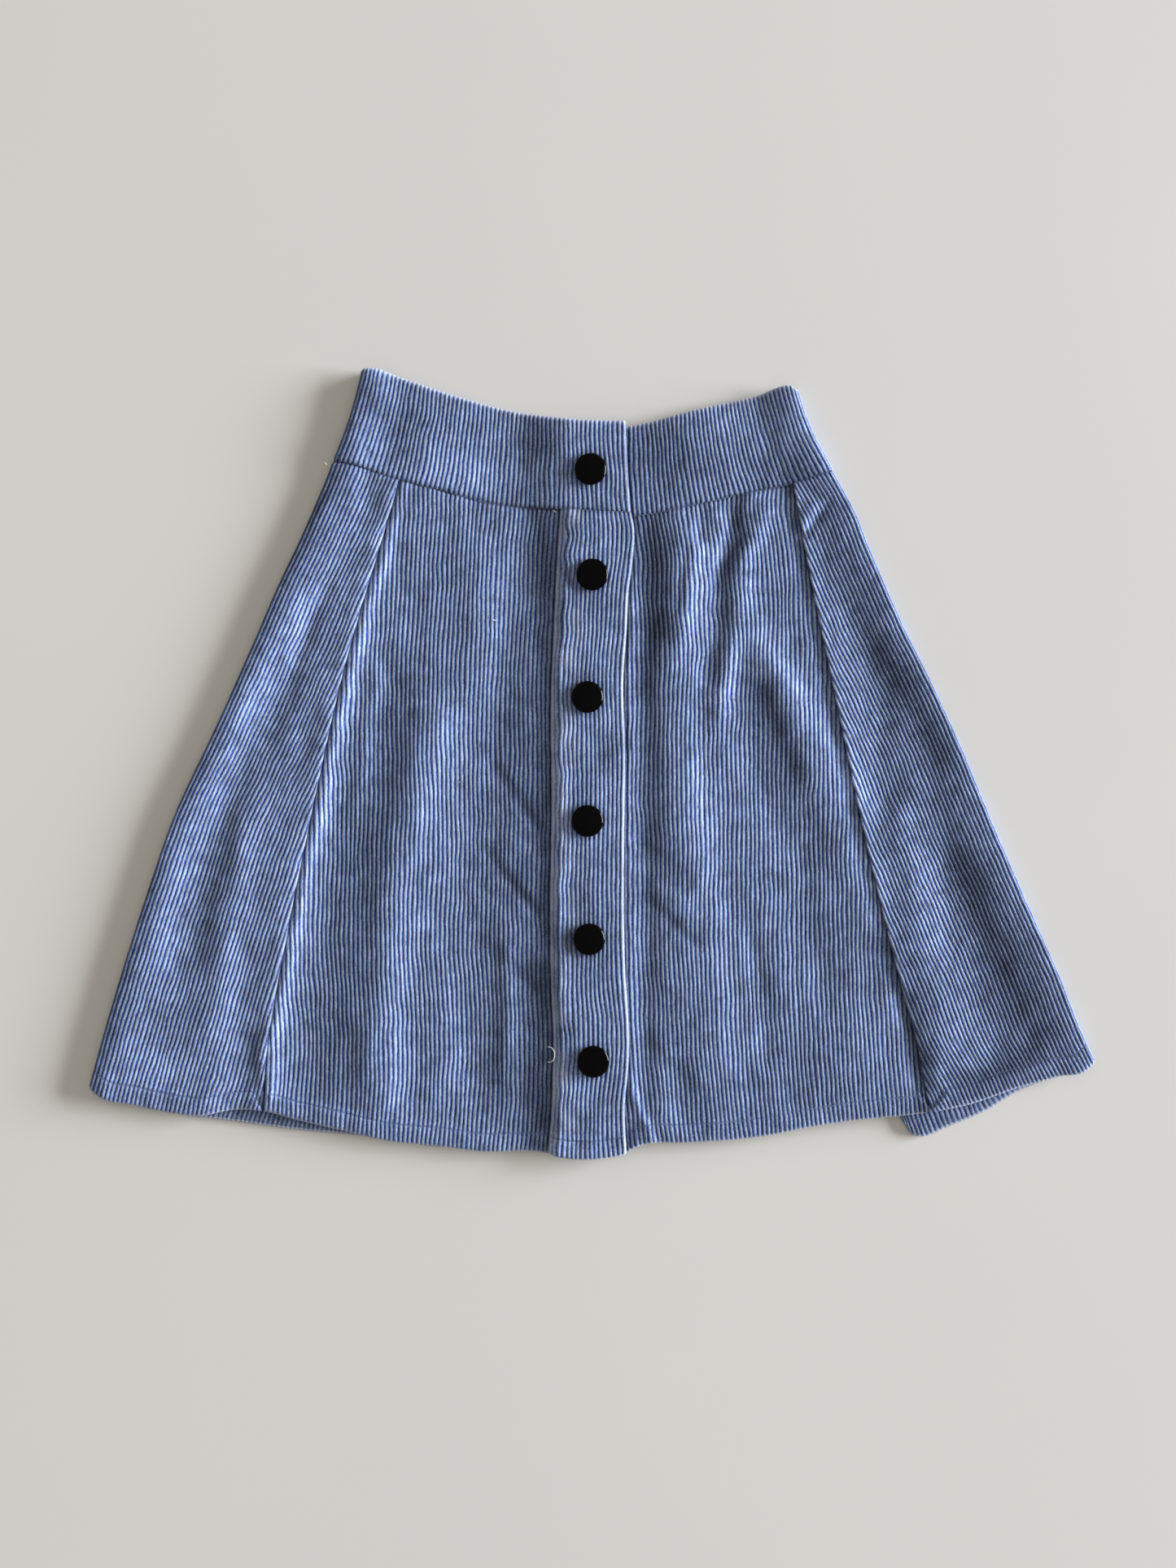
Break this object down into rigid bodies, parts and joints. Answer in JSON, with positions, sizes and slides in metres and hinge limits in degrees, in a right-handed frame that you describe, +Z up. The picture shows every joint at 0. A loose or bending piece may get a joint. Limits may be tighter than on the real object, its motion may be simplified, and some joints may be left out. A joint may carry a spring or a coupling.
{
  "type": "skirt",
  "caption": "A-line skirt in light blue wide-wale corduroy with princess seams, a plain waistband and a snap-fastened front placket, laid flat.",
  "frame": {"origin": "on the surface that the skirt lies on, under the middle of its bounding box", "axes": "+X across the skirt towards the wearer's left, +Y from the hem to the waist, +Z up from the surface through the front"},
  "size_m": [0.7036, 0.551, 0.0113],
  "materials": {
    "corduroy": "light blue eight-wale cotton corduroy, brushed pile",
    "snap_cap": "glossy black enamelled snap cap"
  },
  "bodies": {
    "root": {"back_panel": "corduroy", "back_hem": "corduroy", "front_side_right": "corduroy", "front_side_left": "corduroy", "front_centre_right": "corduroy", "front_centre_left": "corduroy", "placket": "corduroy", "waistband": "corduroy", "snap_1": "snap_cap", "snap_2": "snap_cap", "snap_3": "snap_cap", "snap_4": "snap_cap", "snap_5": "snap_cap", "snap_6": "snap_cap"}
  },
  "joints": []
}
